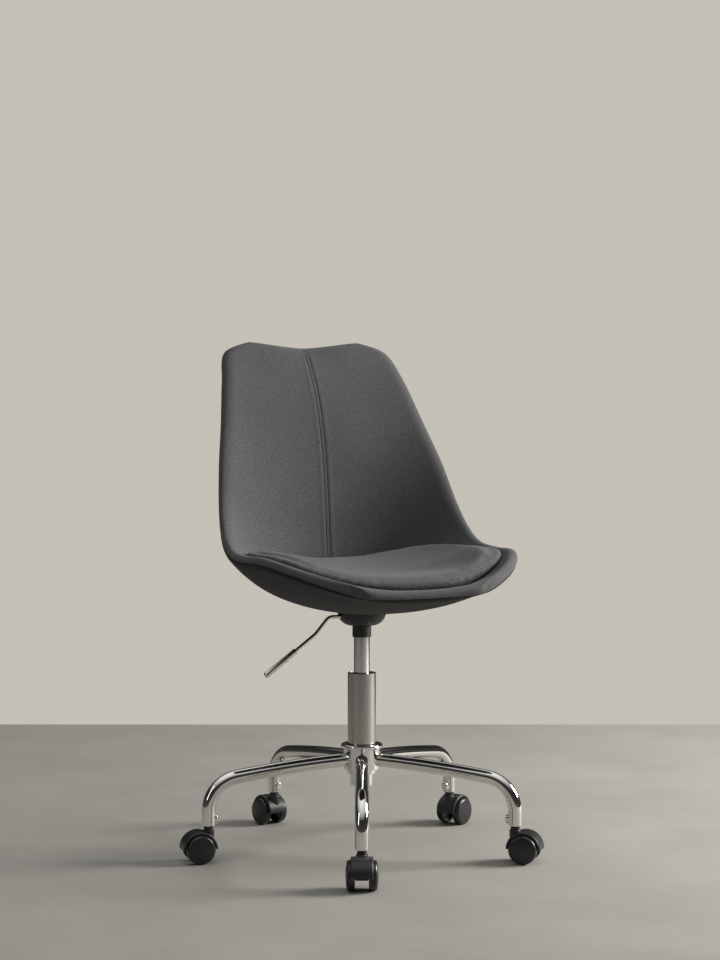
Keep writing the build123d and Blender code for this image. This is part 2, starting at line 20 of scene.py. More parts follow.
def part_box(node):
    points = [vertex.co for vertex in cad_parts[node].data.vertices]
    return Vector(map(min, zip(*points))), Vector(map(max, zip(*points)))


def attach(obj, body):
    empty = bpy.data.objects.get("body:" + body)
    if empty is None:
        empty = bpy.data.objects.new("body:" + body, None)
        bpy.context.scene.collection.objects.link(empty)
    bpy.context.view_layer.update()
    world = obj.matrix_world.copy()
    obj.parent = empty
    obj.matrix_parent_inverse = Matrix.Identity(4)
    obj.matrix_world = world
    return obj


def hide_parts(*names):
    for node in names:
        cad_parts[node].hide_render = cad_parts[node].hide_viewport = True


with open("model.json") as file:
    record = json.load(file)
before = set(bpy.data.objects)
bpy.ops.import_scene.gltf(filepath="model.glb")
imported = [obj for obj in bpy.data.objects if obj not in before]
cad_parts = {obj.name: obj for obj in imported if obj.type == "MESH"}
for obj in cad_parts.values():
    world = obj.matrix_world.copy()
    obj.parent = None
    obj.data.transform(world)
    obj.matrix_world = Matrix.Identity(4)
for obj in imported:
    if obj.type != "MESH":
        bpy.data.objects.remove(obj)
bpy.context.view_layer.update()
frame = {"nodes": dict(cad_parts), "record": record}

nodes = frame["nodes"]

# %% [markdown]
# A chair is looked at from standing height across a room, so the camera is a long lens a little
# below eye level, turned to the chair's front left. It is placed first, because every later step
# is judged through it.

# %% Camera
LENS = 78.8
CAMERA_PLACE = Vector((-1.5986, -3.3444, 0.8159))
LOOKS_ALONG = Vector((0.4301, 0.9018, -0.0420))
SENSOR = 36.0
CHAIR_MIDDLE = Vector((0, 0, 0.45))

camera = bpy.data.objects.new("camera", bpy.data.cameras.new("camera"))
camera.data.lens = LENS
camera.data.sensor_width = SENSOR
camera.location = CAMERA_PLACE
camera.rotation_euler = LOOKS_ALONG.to_track_quat("-Z", "Y").to_euler()
bpy.context.scene.collection.objects.link(camera)
bpy.context.scene.camera = camera
print("camera", round((CAMERA_PLACE - CHAIR_MIDDLE).length, 2), "m from the chair")


# %% [markdown]
# Every finish is a node tree of its own. The helpers below keep the trees short: one makes a
# material and gives back its shader, and one adds a node and wires it up in the same line.

# %% Material helpers
def new_material(name):
    """A node material and its Principled shader."""
    material = bpy.data.materials.new(name)
    material.use_nodes = True
    return material, material.node_tree.nodes["Principled BSDF"]


def add(owner, kind, inputs=(), **settings):
    """Adds a node to a material or world. Each input is a value, or a socket that is wired to it."""
    node = owner.node_tree.nodes.new(kind)
    for key, value in settings.items():
        setattr(node, key, value)
    for key, value in dict(inputs).items():
        if isinstance(value, bpy.types.NodeSocket):
            owner.node_tree.links.new(value, node.inputs[key])
        else:
            node.inputs[key].default_value = value
    return node


def link(owner, source, target):
    owner.node_tree.links.new(source, target)


def place_of(material, coordinate="Object"):
    """The point on the surface that a pattern is read at, in metres."""
    return add(material, "ShaderNodeTexCoord").outputs[coordinate]


def ramp(owner, factor, stops):
    """Colour ramp through (position, grey or colour) stops."""
    node = add(owner, "ShaderNodeValToRGB", {"Fac": factor})
    while len(node.color_ramp.elements) < len(stops):
        node.color_ramp.elements.new(0.5)
    for element, (position, colour) in zip(node.color_ramp.elements, stops):
        element.position = position
        element.color = (*colour, 1) if isinstance(colour, tuple) else (colour, colour, colour, 1)
    return node.outputs["Color"]


def speckle(material, where, scale, detail=2.0, roughness=0.5):
    """Noise from 0 to 1."""
    inputs = {"Vector": where, "Scale": scale, "Detail": detail, "Roughness": roughness}
    return add(material, "ShaderNodeTexNoise", inputs).outputs["Fac"]


def spread_over(material, value, low, high):
    """Maps a noise from 0 to 1 onto low to high."""
    return add(material, "ShaderNodeMapRange", {"Value": value, "To Min": low, "To Max": high}).outputs[0]


def roughen(material, shader, height, strength, depth):
    """Bump from a height pattern; depth is in metres."""
    bump = add(material, "ShaderNodeBump", {"Height": height, "Strength": strength, "Distance": depth})
    link(material, bump.outputs[0], shader.inputs["Normal"])


# %% [markdown]
# **Chrome.** The legs are steel tube, polished and chrome plated. Chrome has almost no colour of
# its own: what shows is the room. So the colour stays light and the roughness low, and the life
# comes from what a used base has: fine polishing marks that spread each highlight a little, and a
# thin haze of dust. The column tube had less polishing than the legs, so it takes a rougher value.

# %% Chrome
def chrome(name, colour, roughness, marks):
    """Plated steel with a haze of dust and fine marks; marks scales the pattern along X, Y and Z."""
    material, shader = new_material(name)
    shader.inputs["Metallic"].default_value = 1.0
    where = place_of(material)
    haze = speckle(material, where, 34.0, 4.0)
    tint = ramp(material, haze, [(0.3, tuple(c * 0.93 for c in colour)), (0.7, colour)])
    link(material, tint, shader.inputs["Base Color"])
    rough = spread_over(material, haze, roughness * 0.7, roughness * 1.4)
    link(material, rough, shader.inputs["Roughness"])
    stretched = add(material, "ShaderNodeMapping", {"Vector": where, "Scale": marks}).outputs[0]
    roughen(material, shader, speckle(material, stretched, 900.0), 0.04, 0.0002)
    return material


EVEN, ALONG_Z = (1.0, 1.0, 1.0), (1.0, 1.0, 0.1)
finishes = {
    "leg_chrome": chrome("leg_chrome", (0.83, 0.82, 0.80), 0.07, EVEN),
    "tube_chrome": chrome("tube_chrome", (0.55, 0.54, 0.52), 0.24, (1.0, 1.0, 0.05)),
    "cylinder_chrome": chrome("cylinder_chrome", (0.80, 0.80, 0.79), 0.12, ALONG_Z),
    "lever_chrome": chrome("lever_chrome", (0.74, 0.74, 0.73), 0.16, EVEN),
    "bright_steel": chrome("bright_steel", (0.56, 0.55, 0.54), 0.30, ALONG_Z),
}
print("chromes:", ", ".join(finishes))


# %% [markdown]
# **Moulded plastic.** The hoods, wheels, bush, sleeve and bowl are black nylon. Such plastic is
# never pure black: it is a very dark grey with a fine moulded grain, a satin gloss and a slightly
# dusty look where hands and floor reach it.

# %% Plastic
def plastic(name, grey, roughness, grain):
    """Moulded plastic or paint: a dusty dark grey with a fine grain."""
    material, shader = new_material(name)
    where = place_of(material)
    dust = speckle(material, where, 18.0, 5.0)
    link(material, ramp(material, dust, [(0.35, grey), (0.8, grey * 1.7)]), shader.inputs["Base Color"])
    rough = spread_over(material, dust, roughness * 0.85, roughness * 1.25)
    link(material, rough, shader.inputs["Roughness"])
    roughen(material, shader, speckle(material, where, 2600.0), grain, 0.0001)
    return material


for name, grey, roughness, grain in (
    ("black_plastic", 0.016, 0.42, 0.35),
    ("hood_plastic", 0.017, 0.36, 0.30),
    ("wheel_nylon", 0.014, 0.30, 0.10),
    ("shell_plastic", 0.060, 0.55, 0.30),
    ("seal_rubber", 0.020, 0.70, 0.20),
    ("dark_steel", 0.030, 0.38, 0.50),
):
    finishes[name] = plastic(name, grey, roughness, grain)
brass, brass_shader = new_material("brass")
brass_shader.inputs["Metallic"].default_value = 1.0
brass_shader.inputs["Roughness"].default_value = 0.3
brass_grain = speckle(brass, place_of(brass), 300.0)
brass_colour = ramp(brass, brass_grain, [(0.3, (0.62, 0.45, 0.20)), (0.7, (0.72, 0.54, 0.27))])
link(brass, brass_colour, brass_shader.inputs["Base Color"])

finishes["brass"] = brass

# %% [markdown]
# The frame's record says which finish each piece has, so the finishes are handed out by that list.
# The three soft pieces get none here, because covers will stand in for them.

# %% Finishes of the hard pieces
slot_of = {part["node"]: part["material_slot"] for part in frame["record"]["subparts"]}
for name, node in nodes.items():
    finish = finishes.get(slot_of[name])
    if finish:
        node.data.materials.clear()
        node.data.materials.append(finish)
print("finished nodes:", sum(slot_of[name] in finishes for name in nodes))


# %% [markdown]
# **Cloth.** The covers are a heathered weave: dark and lighter grey yarns, twisted and woven
# plain. From across a room it reads as one charcoal with a fine restless grain, and only close by
# do the threads show. The pattern follows the cloth, so it is read from a UV map in metres that
# each cover carries, and a fibre nap gives the pale edge that soft cloth has.

# %% Cloth
YARN = 0.0011           # width of one yarn
SLUB = 0.006            # length over which a yarn keeps its shade


def total(material, a, b):
    return add(material, "ShaderNodeMath", {0: a, 1: b}, operation="ADD").outputs[0]


def weighted(material, value, weight, base):
    inputs = {0: value, 1: weight, 2: base}
    return add(material, "ShaderNodeMath", inputs, operation="MULTIPLY_ADD").outputs[0]


def weave(name, dark, light):
    """Plain weave of mottled yarns, with thread relief and a short nap."""
    material, shader = new_material(name)
    where = place_of(material, "UV")
    shades = []
    for stretch in ((1 / YARN, 1 / SLUB, 1), (1 / SLUB, 1 / YARN, 1)):
        yarns = add(material, "ShaderNodeMapping", {"Vector": where, "Scale": stretch}).outputs[0]
        shades.append(speckle(material, yarns, 1.0, 1.0))
    fleck = speckle(material, where, 1 / (YARN * 1.6), 3.0, 0.7)
    cloud = speckle(material, where, 14.0, 3.0)
    shade = weighted(material, cloud, 0.15, total(material, total(material, *shades), fleck))
    spread = add(material, "ShaderNodeMapRange", {"Value": shade, "From Min": 1.15, "From Max": 2.0})
    colour = ramp(material, spread.outputs[0], [(0.0, dark), (1.0, light)])
    link(material, colour, shader.inputs["Base Color"])
    shader.inputs["Roughness"].default_value = 0.92
    shader.inputs["Specular IOR Level"].default_value = 0.25
    shader.inputs["Sheen Weight"].default_value = 0.18
    shader.inputs["Sheen Roughness"].default_value = 0.45
    shader.inputs["Sheen Tint"].default_value = (0.55, 0.56, 0.57, 1)
    threads = []
    for axis in "XY":
        wave = add(
            material, "ShaderNodeTexWave", {"Vector": where, "Scale": 0.5 / YARN / pi, "Distortion": 0.6},
            wave_type="BANDS", bands_direction=axis, wave_profile="SIN",
        )
        threads.append(wave.outputs["Fac"])
    over = add(material, "ShaderNodeMath", {0: threads[0], 1: threads[1]}, operation="MAXIMUM").outputs[0]
    roughen(material, shader, weighted(material, fleck, 0.8, over), 0.5, 0.0004)
    return material


CHARCOAL = ((0.045, 0.046, 0.047), (0.135, 0.137, 0.138))
# The outer cloth is the same weave, about four times darker than the inner one: partly a darker cloth and
# mostly painted shade, for the shell's outer side that faces away from the key light.
DARKER_CHARCOAL_AND_PAINTED_SHADE = ((0.012, 0.012, 0.012), (0.036, 0.036, 0.036))
inner_cloth = weave("inner_cloth", *CHARCOAL)
outer_cloth = weave("outer_cloth", *DARKER_CHARCOAL_AND_PAINTED_SHADE)
seat_cloth = weave("seat_cloth", *CHARCOAL)
thread, thread_shader = new_material("thread")
thread_twist = speckle(thread, place_of(thread), 1500.0)
link(thread, ramp(thread, thread_twist, [(0.3, 0.020), (0.7, 0.055)]), thread_shader.inputs["Base Color"])
thread_shader.inputs["Roughness"].default_value = 0.6
thread_shader.inputs["Sheen Weight"].default_value = 0.3
print("cloths:", inner_cloth.name, outer_cloth.name, seat_cloth.name)

# %% [markdown]
# **The bucket.** The shell is one moulded sheet that turns up into sides and a back. Two curves
# describe it: the middle line down its centre, and the rim round one half. Every point between
# lies on a section that is flat in the middle and turns up late, so a power of the distance from
# the middle blends the two. The stations are even in number, not in length, so a second helper
# finds the place by its share of the middle line's real length. That keeps the cloth's squares
# square.

# %% Bucket surface
MM = 0.001
MOUNT_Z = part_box("mount_plate")[1].z
FLATNESS = 2.4          # power of the section: higher is flatter in the middle
BACK_FLATNESS = 1.7     # the same at the top of the back
FLAT_STATION = 7        # where the section has reached FLATNESS
CORNER_POWER = 12       # how late the rim turns into its corners
TOP_CORNER = Vector((0, 0.0031, 0.0027))        # how far the top edge swells between its corners
FRONT_CORNER = Vector((0, 0.0049, 0.0031))      # and how far the front edge draws back
TOP_STATIONS = 1.5      # near the top edge the section changes to an even wave
TOP_WAVE = 1.4
MIDDLE = [
    (262, 467), (222, 410), (192, 347), (172, 272), (161, 192), (154, 112), (138, 50),
    (88, 18), (10, 10), (-80, 12), (-160, 24), (-225, 42), (-247, 50),
]
RIM = [
    (112, 260, 473), (164, 243, 458), (184, 203, 407), (203, 160, 331), (222, 120, 257), (235, 86, 187),
    (243, 52, 140), (248, 11, 114), (252, -50, 106), (243, -121, 106), (209, -177, 90), (157, -220, 68),
    (112, -243, 53),
]
middle_stations = [Vector((0, y, z)) * MM for y, z in MIDDLE]
rim_stations = [Vector(point) * MM for point in RIM]
LAST = len(MIDDLE) - 1


def along(stations, t):
    """Smooth curve through evenly numbered stations, at t from 0 to 1."""
    last = len(stations) - 1
    k = min(int(t * last), last - 1)
    f = t * last - k
    p1, p2 = stations[k], stations[k + 1]
    p0 = stations[k - 1] if k > 0 else p1 * 2 - p2
    p3 = stations[k + 2] if k + 2 <= last else p2 * 2 - p1
    bend = (p0 * 2 - p1 * 5 + p2 * 4 - p3) * f**2 + (p1 * 3 - p0 - p2 * 3 + p3) * f**3
    return p1 + ((p2 - p0) * f + bend) * 0.5


STEPS = 480
lengths = [0.0]
for i in range(STEPS):
    piece_of_line = along(middle_stations, (i + 1) / STEPS) - along(middle_stations, i / STEPS)
    lengths.append(lengths[-1] + piece_of_line.length)
MIDDLE_LENGTH = lengths[-1]


def station_at(s):
    """The station t at a share s of the middle line's length."""
    target = s * MIDDLE_LENGTH
    low, high = 0, STEPS
    while high - low > 1:
        half = (low + high) // 2
        low, high = (half, high) if lengths[half] <= target else (low, half)
    return (low + (target - lengths[low]) / (lengths[high] - lengths[low])) / STEPS


def eased(x):
    """From 0 to 1 with a soft start and a soft end."""
    return x**2 * (3 - 2 * x)


def bucket(u, s):
    """Point of the shell's middle surface: u from rim to rim, s from the back's top to the front."""
    t = station_at(s)
    middle, rim = along(middle_stations, t), along(rim_stations, t)
    near_top, near_front = max(0, 1 - t * LAST / TOP_STATIONS), max(0, t * LAST - (LAST - 1))
    flatness = BACK_FLATNESS + (FLATNESS - BACK_FLATNESS) * min(1, t * LAST / FLAT_STATION) ** 2
    pan, wave = abs(u) ** flatness, sin(pi / 2 * min(abs(u), 1)) ** TOP_WAVE
    lift = pan + (wave - pan) * eased(near_top)
    y = middle.y + (rim.y - middle.y) * lift
    z = MOUNT_Z + middle.z + (rim.z - middle.z) * lift
    swell = TOP_CORNER * eased(near_top) - FRONT_CORNER * eased(near_front)
    return Vector((rim.x * u, y, z)) + swell * (abs(u) ** FLATNESS - abs(u) ** CORNER_POWER)


def bucket_normal(u, s):
    """Unit normal of the middle surface, towards the sitter."""
    step = 0.002
    across = bucket(min(u + step, 1), s) - bucket(max(u - step, -1), s)
    down = bucket(u, min(s + step, 1)) - bucket(u, max(s - step, 0))
    return down.cross(across).normalized()


pan_normal = tuple(round(v, 2) for v in bucket_normal(0, 0.7))
print("middle line", round(MIDDLE_LENGTH, 3), "m; pan normal", pan_normal)


# %% [markdown]
# **The covers.** The inner cover lies over foam on the sitter's side, wraps round the rim and ends
# in a seam on the outside, where the outer cover begins. Both start as a grid. The grid's own
# coordinates say where on the bucket each vertex goes, so the cloth keeps its even squares. The
# rim is then rolled: the grid's border edges are extruded again and again, each time a few degrees
# further round the rim.

# %% Cover helpers
RIM_R = 0.011           # half the thickness of the padded edge
RIM_IN_BACK = 0.024     # width over which it is rounded
RIM_IN_SEAT = 0.014
SEAT_FROM, SEAT_RUN = 0.42, 0.16     # where along the middle line one width turns into the other
ROLL_CENTRE = 0.001     # how far the roll's centre is towards the sitter
SEAM_TURN = 140.0       # degrees round the rim, from the sitter's side, to the seam
CLOTH = 0.0016          # thickness of cover and backing
VALLEY = 0.0020         # how far the cloth swells at the rim seam
VALLEY_TURN = 7.0       # and over how many degrees on each side
ACROSS, DOWN = 140, 176


def dip(distance, width):
    """Bell curve: 1 at no distance, and near 0 beyond two widths."""
    return exp(-((distance / width) ** 2))


def rim_in(s):
    """Width of the rounded edge: wide round the back, narrower round the seat."""
    seat_part = max(0.0, min(1.0, (s - SEAT_FROM) / SEAT_RUN))
    return RIM_IN_BACK + (RIM_IN_SEAT - RIM_IN_BACK) * eased(seat_part)


def inset_place(u, s, share=1.0):
    """Where a grid point lies when a share of the rounded edge's width is kept free all round."""
    free = rim_in(s) * share
    half_width = along(rim_stations, station_at(s)).x
    return u * (1 - free / (half_width * 1.25)), (free + s * (MIDDLE_LENGTH - 2 * free)) / MIDDLE_LENGTH


def gather(u):
    """Draws the grid's columns together at the centre seam and leaves them wide at the sides."""
    return u * (0.14 + 0.86 * abs(u) ** 1.2)


def cover_grid():
    """A bmesh grid from -1 to 1, with a layer for the cloth coordinates."""
    mesh = bmesh.new()
    bmesh.ops.create_grid(mesh, x_segments=ACROSS, y_segments=DOWN, size=1.0)
    mesh.loops.layers.uv.new("cloth")
    return mesh


def new_piece(mesh, name, material):
    """Turns a bmesh into a linked object with one material, and frees the bmesh."""
    data = bpy.data.meshes.new(name)
    mesh.to_mesh(data)
    mesh.free()
    data.materials.append(material)
    piece = bpy.data.objects.new(name, data)
    bpy.context.scene.collection.objects.link(piece)
    return piece


def finish_cover(mesh, name, cloth_place, material):
    """Writes the cloth coordinates, makes the object and gives the cloth its thickness."""
    layer = mesh.loops.layers.uv["cloth"]
    for face in mesh.faces:
        face.smooth = True
        for loop in face.loops:
            loop[layer].uv = cloth_place[loop.vert]
    piece = new_piece(mesh, name, material)
    wall = piece.modifiers.new("wall", "SOLIDIFY")
    wall.thickness = CLOTH
    wall.offset = -1.0
    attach(piece, "seat")
    return piece


def cloth_places(places):
    """Cloth coordinates in metres: lengths along each row from the middle, and along the middle line."""
    rows = {}
    for vert, (u, s) in places.items():
        rows.setdefault(round(s, 6), []).append((u, vert))
    result = {}
    for s, row in rows.items():
        row.sort(key=lambda item: item[0])
        run = [0.0]
        for (_, a), (_, b) in zip(row[:-1], row[1:]):
            run.append(run[-1] + (b.co - a.co).length)
        for length, (_, vert) in zip(run, row):
            result[vert] = Vector((length - run[len(row) // 2], -s * MIDDLE_LENGTH))
    return result


def roll_border(mesh, bases, turns, cloth_place):
    """Extrudes the border round the rim. bases gives each border vertex its place on the grid."""
    border = [edge for edge in mesh.edges if edge.is_boundary]
    for turn in turns:
        made = bmesh.ops.extrude_edge_only(mesh, edges=border)["geom"]
        fresh = {}
        for vert in (item for item in made if isinstance(item, bmesh.types.BMVert)):
            old = next(e.other_vert(vert) for e in vert.link_edges if e.other_vert(vert) in bases)
            u, s = bases[old]
            place = inset_place(u, s, 1 - sin(radians(turn)))
            swell = VALLEY * dip(turn - SEAM_TURN, VALLEY_TURN)
            reach = ROLL_CENTRE + RIM_R * cos(radians(turn)) + swell
            vert.co = bucket(*place) + bucket_normal(*place) * reach
            u_in, s_in = inset_place(u, s)
            half_width = along(rim_stations, station_at(s)).x
            outward = Vector(((u - u_in) * half_width, (s_in - s) * MIDDLE_LENGTH))
            fresh[vert] = (u, s)
            cloth_place[vert] = cloth_place[old] + outward.normalized() * (vert.co - old.co).length
        bases = fresh
        border = [item for item in made if isinstance(item, bmesh.types.BMEdge)]


# %% [markdown]
# **Seams and foam.** Two things keep a sewn cover from looking like moulded plastic. Where two
# panels are sewn, the cloth is pulled down into the foam and swells on each side of the seam, and
# a row of top stitches follows the seam on each side. Between the seams the foam was cut and laid
# by hand, so the surface rises and falls slowly by a millimetre.

# %% Seam and foam relief
STITCH_OUT = 0.0034     # from the seam to each row of stitches
SEAM_END = 0.50         # where along the middle line the seam fades out, under the pad
SEAM_FADE = 0.04


def centre_relief(x):
    """Height beside the centre seam: furrows under the two rows, a strip between, and a swell outside."""
    swell = 0.0004 * dip(abs(x) - 0.009, 0.004)
    rows = 0.0009 * dip(abs(x) - STITCH_OUT, 0.0010)
    return swell - rows - 0.0003 * dip(x, 0.0007)


def slow_relief(u, s):
    """Slow unevenness of hand-fitted foam."""
    return 0.0010 * noise.noise(Vector((u * 2.2, s * 5.0, 3.7))) * (1 - abs(u) ** 6)


# %% Inner cover
inner = cover_grid()
inner_places = {vert: (gather(vert.co.x), (1 - vert.co.y) / 2) for vert in inner.verts}
for vert, place in inner_places.items():
    u, s = inset_place(*place)
    point, normal = bucket(u, s), bucket_normal(u, s)
    seat_part = max(0.0, min(1.0, (s - SEAM_END) / SEAM_FADE))
    relief = centre_relief(point.x) * (1 - seat_part) + slow_relief(*place)
    vert.co = point + normal * (ROLL_CENTRE + RIM_R + relief)
inner_cloth_place = cloth_places(inner_places)
inner_rim = {vert: place for vert, place in inner_places.items() if vert.is_boundary}
INNER_ROLL = [10, 20, 30, 41, 52, 63, 74, 85, 96, 107, 116, 123, 128, 132, 136, SEAM_TURN]
roll_border(inner, inner_rim, INNER_ROLL, inner_cloth_place)
inner_cover = finish_cover(inner, "inner_cover", inner_cloth_place, inner_cloth)
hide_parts("inner_upholstery")
print("inner cover:", len(inner_cover.data.polygons), "faces")

# %% [markdown]
# **Outer cover.** On the back of the shell the cloth is pulled tight, with no seam down the middle.
# It is the same kind of grid on the other side, and its own roll comes up to meet the inner cover
# at the rim seam.

# %% Outer cover
outer = cover_grid()
outer_places = {vert: (vert.co.x, (1 - vert.co.y) / 2) for vert in outer.verts}
for vert, place in outer_places.items():
    u, s = inset_place(*place)
    vert.co = bucket(u, s) + bucket_normal(u, s) * (ROLL_CENTRE - RIM_R)
outer_cloth_place = cloth_places(outer_places)
outer_rim = {vert: place for vert, place in outer_places.items() if vert.is_boundary}
OUTER_ROLL = [172, 164, 157, 152, 148, 144, SEAM_TURN]
roll_border(outer, outer_rim, OUTER_ROLL, outer_cloth_place)
bmesh.ops.reverse_faces(outer, faces=outer.faces)
outer_cover = finish_cover(outer, "outer_cover", outer_cloth_place, outer_cloth)
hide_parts("outer_upholstery")
print("outer cover:", len(outer_cover.data.polygons), "faces")

# %% [markdown]
# **Seat pad.** A loose oval pad fills the bucket and leaves a dark groove inside the rim. It
# starts as a subdivided cube: its top becomes the crown, its underside follows the bucket, and its
# plan is rounded to the oval. It is then given even squares by a voxel remesh, pumped up a little
# by a cloth simulation with pressure, evened out, moved clear of the cover that it lies on, and
# smoothed by one subdivision. A simulation gives the tight, full edge of a foam-filled cover, which
# is hard to draw by hand.

# %% Seat pad outline
PAD_REAR, PAD_FRONT = 0.488, 0.965    # along the middle line
PAD_SIDE = 0.957        # share of the bucket's half width
PAD_OVAL = 3.8          # 2 is an ellipse, more is squarer
PAD_GAP = 0.0040        # between pad and inner cover
PAD_TOP = MOUNT_Z + 0.061             # height of the middle, without the crown
PAD_CROWN = 0.007       # how far the top swells over its edge
PAD_EDGE = 0.013        # thickness at the edge
PAD_EDGE_POWER = 6      # how late the top turns down to the edge
TINY = 1e-9
PAD_CLEAR = 0.0016      # least room between pad and inner cover


def oval(a, b):
    """Maps a square's point to the pad's oval. Gives the point and how far out it lies, from 0 to 1."""
    x, y = a * sqrt(1 - b * b / 2), b * sqrt(1 - a * a / 2)
    radius = sqrt(x * x + y * y)
    if radius < TINY:
        return 0.0, 0.0, 0.0
    grow = ((abs(x) / radius) ** PAD_OVAL + (abs(y) / radius) ** PAD_OVAL) ** (-1 / PAD_OVAL)
    return x * grow, y * grow, radius


def over_cover(x, y, height):
    """Point above the inner cover at the pad's plan place x, y, both from -1 to 1."""
    u, s = x * PAD_SIDE, (PAD_REAR + PAD_FRONT) / 2 + y * (PAD_FRONT - PAD_REAR) / 2
    return bucket(u, s) + bucket_normal(u, s) * (ROLL_CENTRE + RIM_R + PAD_GAP + height)


def pad_point(a, b, height):
    """Point of the pad; height runs from 0 at the underside to 1 at the top."""
    x, y, out = oval(a, b)
    low, edge = over_cover(x, y, 0), over_cover(x, y, PAD_EDGE)
    rim_z = over_cover(x / out, y / out, PAD_EDGE).z if out > 0 else PAD_TOP
    rear, front = over_cover(0, -1, 0).y, over_cover(0, 1, 0).y
    inside = 1 - out**PAD_EDGE_POWER
    level_y = edge.y + (rear + (front - rear) * (y + 1) / 2 - edge.y) * inside
    top_z = PAD_TOP + (rim_z - PAD_TOP) * out**2 + PAD_CROWN * inside
    return low.lerp(Vector((edge.x, level_y, top_z)), height)


edge_places = [(0, -1), (1, 0), (0, 1)]
print("pad edge, rear, side, front:", [round(over_cover(x, y, PAD_EDGE).z, 3) for x, y in edge_places])

# %% Seat pad
PAD_CUTS = 31
VOXEL = 0.005
PRESSURE = 4.0
TRAVEL = 0.006          # furthest that the stuffing moves a point
STUFFING_FRAMES = 20
FOAM_ROUNDS = 6         # the foam inside evens out small creases


pad = bmesh.new()
bmesh.ops.create_cube(pad, size=2.0)
bmesh.ops.subdivide_edges(pad, edges=pad.edges, cuts=PAD_CUTS, use_grid_fill=True)
for vert in pad.verts:
    vert.co = pad_point(vert.co.x, vert.co.y, (vert.co.z + 1) / 2)
bmesh.ops.recalc_face_normals(pad, faces=pad.faces)
seat_pad = new_piece(pad, "seat_pad", seat_cloth)
print("pad", len(seat_pad.data.vertices), "points")


def replace_mesh(piece, mesh):
    """Gives the piece a new mesh and drops the old one."""
    old = piece.data
    piece.data = mesh
    mesh.name = piece.name
    bpy.data.meshes.remove(old)


def baked(piece):
    """The piece's mesh as its modifiers leave it."""
    depsgraph = bpy.context.evaluated_depsgraph_get()
    return bpy.data.meshes.new_from_object(piece.evaluated_get(depsgraph))


def puff(piece):
    """Even squares, then a short cloth simulation that stuffs the cover, then a little evening out."""
    remesh = piece.modifiers.new("squares", "REMESH")
    remesh.mode = "VOXEL"
    remesh.voxel_size = VOXEL
    even = baked(piece)
    piece.modifiers.clear()
    replace_mesh(piece, even)
    start = [vert.co.copy() for vert in even.vertices]
    cloth = piece.modifiers.new("stuffing", "CLOTH")
    cloth.settings.use_pressure = True
    cloth.settings.uniform_pressure_force = PRESSURE
    cloth.settings.effector_weights.gravity = 0
    cloth.point_cache.frame_end = STUFFING_FRAMES
    for frame_number in range(1, STUFFING_FRAMES + 1):
        bpy.context.scene.frame_set(frame_number)
    stuffed = baked(piece)
    piece.modifiers.clear()
    replace_mesh(piece, stuffed)
    for vert, before in zip(stuffed.vertices, start):
        move = vert.co - before
        if move.length > TRAVEL:
            vert.co = before + move * (TRAVEL / move.length)
    bpy.context.scene.frame_set(1)
    foam = bmesh.new()
    foam.from_mesh(stuffed)
    every_way = {"use_axis_x": True, "use_axis_y": True, "use_axis_z": True}
    for _ in range(FOAM_ROUNDS):
        bmesh.ops.smooth_vert(foam, verts=foam.verts, factor=0.5, **every_way)
    foam.to_mesh(stuffed)
    foam.free()


def keep_clear(piece, cover, room):
    """Moves the piece's points off the cover, to the side its faces look to."""
    cover_mesh = bmesh.new()
    cover_mesh.from_mesh(cover.data)
    tree = BVHTree.FromBMesh(cover_mesh)
    moved = 0
    for vert in piece.data.vertices:
        hit, normal, _, _ = tree.find_nearest(vert.co)
        clear = (vert.co - hit).dot(normal)
        if clear < room:
            vert.co += normal * (room - clear)
            moved += 1
    cover_mesh.free()
    return moved


puff(seat_pad)
print("pad points moved off the cover:", keep_clear(seat_pad, inner_cover, PAD_CLEAR))
seat_pad.data.materials.clear()
seat_pad.data.materials.append(seat_cloth)
pad_uv = seat_pad.data.uv_layers.new(name="cloth")
for polygon in seat_pad.data.polygons:
    polygon.use_smooth = True
    for index in polygon.loop_indices:
        vert = seat_pad.data.vertices[seat_pad.data.loops[index].vertex_index]
        fall = vert.co.z - PAD_TOP
        pad_uv.data[index].uv = (vert.co.x - vert.normal.x * fall, vert.co.y - vert.normal.y * fall)
smooth = seat_pad.modifiers.new("smooth", "SUBSURF")
smooth.levels = smooth.render_levels = 1
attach(seat_pad, "seat")
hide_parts("seat_cushion")
pad_height = max(vert.co.z for vert in seat_pad.data.vertices)
print("seat pad", len(seat_pad.data.polygons), "faces, top", round(pad_height, 3))

# %% [markdown]
# **Top stitching.** A sewing machine leaves a row of equal stitches, each pulled a little into the
# cloth at its ends. One stitch is a short flattened bead. Copies of it are turned along the cloth
# and laid end to end with a gap.

# %% Stitches
STITCH = 0.0042
STITCH_GAP = 0.0014
THREAD_R = 0.00042
ROW_STEPS = 900
ROW_START = 0.012       # along the middle line, just below the rim


def stitch_row(mesh, points, normals):
    """Lays stitches along a path, at even steps of its length."""
    travelled, next_at = 0.0, STITCH
    for k in range(len(points) - 1):
        step = points[k + 1] - points[k]
        travelled += step.length
        if travelled < next_at:
            continue
        next_at += STITCH + STITCH_GAP
        x_way, z_way = step.normalized(), normals[k]
        y_way = z_way.cross(x_way).normalized()
        turn = Matrix((x_way, y_way, x_way.cross(y_way))).transposed().to_4x4()
        place = Matrix.Translation(points[k]) @ turn @ Matrix.Diagonal((STITCH / 2, THREAD_R, THREAD_R, 1))
        bmesh.ops.create_uvsphere(mesh, u_segments=8, v_segments=6, radius=1.0, matrix=place)


def stitch_piece(name, paths):
    """One piece that holds all the stitches of the given paths."""
    mesh = bmesh.new()
    for points, normals in paths:
        stitch_row(mesh, points, normals)
    for face in mesh.faces:
        face.smooth = True
    piece = new_piece(mesh, name, thread)
    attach(piece, "seat")
    return piece


